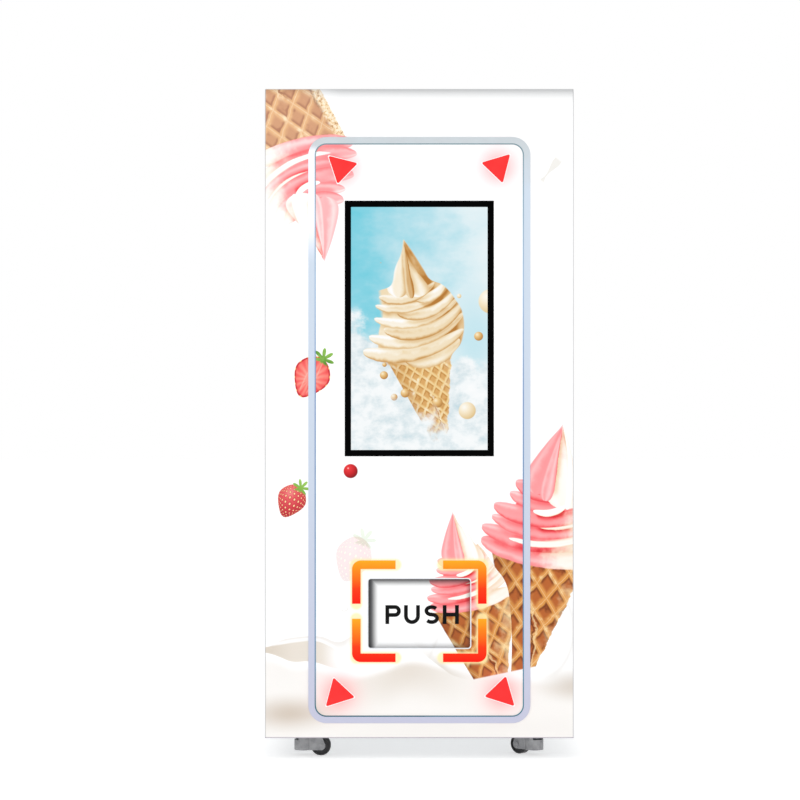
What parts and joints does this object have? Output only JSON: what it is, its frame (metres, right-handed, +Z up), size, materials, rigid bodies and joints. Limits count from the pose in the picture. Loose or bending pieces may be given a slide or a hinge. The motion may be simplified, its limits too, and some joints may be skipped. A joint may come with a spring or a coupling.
{
  "type": "soft serve machine",
  "caption": "Free-standing self-service soft serve kiosk on levelling castors, with a hinged front door, portrait display, light ring and push flap over its serving port.",
  "frame": {"origin": "on the floor, under the middle of the machine's overall box", "axes": "+Z up, the front faces -Y, +X to the right of someone facing the front"},
  "size_m": [0.76, 0.82, 1.66],
  "materials": {
    "white_shell": "semi-gloss powder coat",
    "printed_face": "gloss printed film over painted steel",
    "frame_paint": "satin",
    "galvanised": "matt zinc",
    "stainless": "brushed",
    "bright_metal": "polished",
    "cast_alloy": "sand-blasted casting",
    "light_band": "frosted acrylic",
    "black_glass": "gloss",
    "screen": "gloss, lit",
    "port_trim": "satin",
    "black_plastic": "satin",
    "grey_plastic": "satin",
    "seal": "matt",
    "foam": "skinned foam",
    "motor_paint": "satin",
    "compressor_paint": "black enamel",
    "copper": "dull copper",
    "food_plastic": "satin, food grade"
  },
  "bodies": {
    "cabinet": {"welded_frame": "frame_paint", "base_pan": "galvanised", "left_side_panel": "white_shell", "right_side_panel": "white_shell", "rear_panel": "white_shell", "roof_panel": "white_shell", "tray_deck": "stainless", "machine_deck": "galvanised", "mix_hopper": "stainless", "freezing_barrel": "stainless", "insulation_jacket": "foam", "dispensing_head": "stainless", "gear_motor": "motor_paint", "compressor": "compressor_paint", "condenser": "copper", "fan_shroud": "grey_plastic", "fan_motor": "motor_paint", "cup_magazine": "food_plastic", "carriage_rails": "bright_metal", "topping_canisters": "food_plastic", "waste_tank": "food_plastic", "control_box": "galvanised", "power_inlet": "black_plastic", "frame_hinges": "galvanised", "castor_plates": "galvanised"},
    "door": {"door_skin": "printed_face", "door_liner": "white_shell", "centre_panel": "printed_face", "light_ring": "light_band", "display_bezel": "black_glass", "display_screen": "screen", "port_frame": "port_trim", "flap_pin": "bright_metal", "door_gasket": "seal", "door_hinges": "galvanised", "lock_cylinder": "bright_metal"},
    "flap": {"push_flap": "printed_face"},
    "lock_cam": {"lock_cam": "galvanised"},
    "hopper_lid": {"hopper_lid": "stainless"},
    "beater": {"beater": "food_plastic"},
    "draw_plunger": {"draw_plunger": "black_plastic"},
    "fan": {"fan_rotor": "black_plastic"},
    "cup_carriage": {"cup_carriage": "grey_plastic"},
    "cup_platform": {"cup_platform": "stainless"},
    "castor_front_left": {"castor_body_front_left": "cast_alloy"},
    "wheel_front_left": {"castor_wheel_front_left": "black_plastic"},
    "dial_front_left": {"castor_dial_front_left": "grey_plastic"},
    "foot_front_left": {"castor_foot_front_left": "seal"},
    "castor_front_right": {"castor_body_front_right": "cast_alloy"},
    "wheel_front_right": {"castor_wheel_front_right": "black_plastic"},
    "dial_front_right": {"castor_dial_front_right": "grey_plastic"},
    "foot_front_right": {"castor_foot_front_right": "seal"},
    "castor_rear_left": {"castor_body_rear_left": "cast_alloy"},
    "wheel_rear_left": {"castor_wheel_rear_left": "black_plastic"},
    "dial_rear_left": {"castor_dial_rear_left": "grey_plastic"},
    "foot_rear_left": {"castor_foot_rear_left": "seal"},
    "castor_rear_right": {"castor_body_rear_right": "cast_alloy"},
    "wheel_rear_right": {"castor_wheel_rear_right": "black_plastic"},
    "dial_rear_right": {"castor_dial_rear_right": "grey_plastic"},
    "foot_rear_right": {"castor_foot_rear_right": "seal"}
  },
  "joints": [
    {"name": "door_hinge", "type": "hinge", "parent": "cabinet", "child": "door", "pos_m": [-0.374, -0.358, 0.865], "axis": [0, 0, -1], "range_deg": [0, 100]},
    {"name": "flap_swing", "type": "hinge", "parent": "door", "child": "flap", "pos_m": [0, -0.388, 0.4595], "axis": [1, 0, 0], "range_deg": [0, 70]},
    {"name": "lock_turn", "type": "hinge", "parent": "door", "child": "lock_cam", "pos_m": [0.367, -0.385, 0.86], "axis": [-1, 0, 0], "range_deg": [0, 90]},
    {"name": "lid_hinge", "type": "hinge", "parent": "cabinet", "child": "hopper_lid", "pos_m": [0, 0.26, 1.006], "axis": [-1, 0, 0], "range_deg": [0, 95]},
    {"name": "beater_spin", "type": "hinge", "parent": "cabinet", "child": "beater", "pos_m": [0, 0.1, 0.68], "axis": [0, 1, 0], "continuous": true},
    {"name": "draw_valve", "type": "slide", "parent": "cabinet", "child": "draw_plunger", "axis": [0, 0, 1], "range_m": [0, 0.04]},
    {"name": "fan_spin", "type": "hinge", "parent": "cabinet", "child": "fan", "pos_m": [0.14, 0.304, 0.29], "axis": [0, 1, 0], "continuous": true},
    {"name": "carriage_travel", "type": "slide", "parent": "cabinet", "child": "cup_carriage", "axis": [1, 0, 0], "range_m": [-0.23, 0.23]},
    {"name": "platform_reach", "type": "slide", "parent": "cup_carriage", "child": "cup_platform", "axis": [0, -1, 0], "range_m": [0, 0.085]},
    {"name": "swivel_front_left", "type": "hinge", "parent": "cabinet", "child": "castor_front_left", "pos_m": [-0.29, -0.28, 0.07], "axis": [0, 0, 1], "continuous": true},
    {"name": "roll_front_left", "type": "hinge", "parent": "castor_front_left", "child": "wheel_front_left", "pos_m": [-0.246, -0.28, 0.025], "axis": [0, 1, 0], "continuous": true},
    {"name": "dial_front_left", "type": "hinge", "parent": "castor_front_left", "child": "dial_front_left", "pos_m": [-0.29, -0.28, 0.047], "axis": [0, 0, 1], "range_deg": [0, 2880]},
    {"name": "foot_front_left", "type": "slide", "parent": "castor_front_left", "child": "foot_front_left", "axis": [0, 0, -1], "range_m": [0, 0.01605]},
    {"name": "swivel_front_right", "type": "hinge", "parent": "cabinet", "child": "castor_front_right", "pos_m": [0.29, -0.28, 0.07], "axis": [0, 0, 1], "continuous": true},
    {"name": "roll_front_right", "type": "hinge", "parent": "castor_front_right", "child": "wheel_front_right", "pos_m": [0.2573, -0.25056, 0.025], "axis": [-0.6691, -0.7431, 0], "continuous": true},
    {"name": "dial_front_right", "type": "hinge", "parent": "castor_front_right", "child": "dial_front_right", "pos_m": [0.29, -0.28, 0.047], "axis": [0, 0, 1], "range_deg": [0, 2880]},
    {"name": "foot_front_right", "type": "slide", "parent": "castor_front_right", "child": "foot_front_right", "axis": [0, 0, -1], "range_m": [0, 0.01605]},
    {"name": "swivel_rear_left", "type": "hinge", "parent": "cabinet", "child": "castor_rear_left", "pos_m": [-0.29, 0.28, 0.07], "axis": [0, 0, 1], "continuous": true},
    {"name": "roll_rear_left", "type": "hinge", "parent": "castor_rear_left", "child": "wheel_rear_left", "pos_m": [-0.27861, 0.3225, 0.025], "axis": [-0.9659, 0.2588, 0], "continuous": true},
    {"name": "dial_rear_left", "type": "hinge", "parent": "castor_rear_left", "child": "dial_rear_left", "pos_m": [-0.29, 0.28, 0.047], "axis": [0, 0, 1], "range_deg": [0, 2880]},
    {"name": "foot_rear_left", "type": "slide", "parent": "castor_rear_left", "child": "foot_rear_left", "axis": [0, 0, -1], "range_m": [0, 0.01605]},
    {"name": "swivel_rear_right", "type": "hinge", "parent": "cabinet", "child": "castor_rear_right", "pos_m": [0.29, 0.28, 0.07], "axis": [0, 0, 1], "continuous": true},
    {"name": "roll_rear_right", "type": "hinge", "parent": "castor_rear_right", "child": "wheel_rear_right", "pos_m": [0.25396, 0.25476, 0.025], "axis": [0.5736, -0.8192, 0], "continuous": true},
    {"name": "dial_rear_right", "type": "hinge", "parent": "castor_rear_right", "child": "dial_rear_right", "pos_m": [0.29, 0.28, 0.047], "axis": [0, 0, 1], "range_deg": [0, 2880]},
    {"name": "foot_rear_right", "type": "slide", "parent": "castor_rear_right", "child": "foot_rear_right", "axis": [0, 0, -1], "range_m": [0, 0.01605]}
  ],
  "couplings": [
    {"joint": "foot_front_left", "follows": "dial_front_left", "m_per_rad": 0.00031831},
    {"joint": "foot_front_right", "follows": "dial_front_right", "m_per_rad": 0.00031831},
    {"joint": "foot_rear_left", "follows": "dial_rear_left", "m_per_rad": 0.00031831},
    {"joint": "foot_rear_right", "follows": "dial_rear_right", "m_per_rad": 0.00031831}
  ]
}
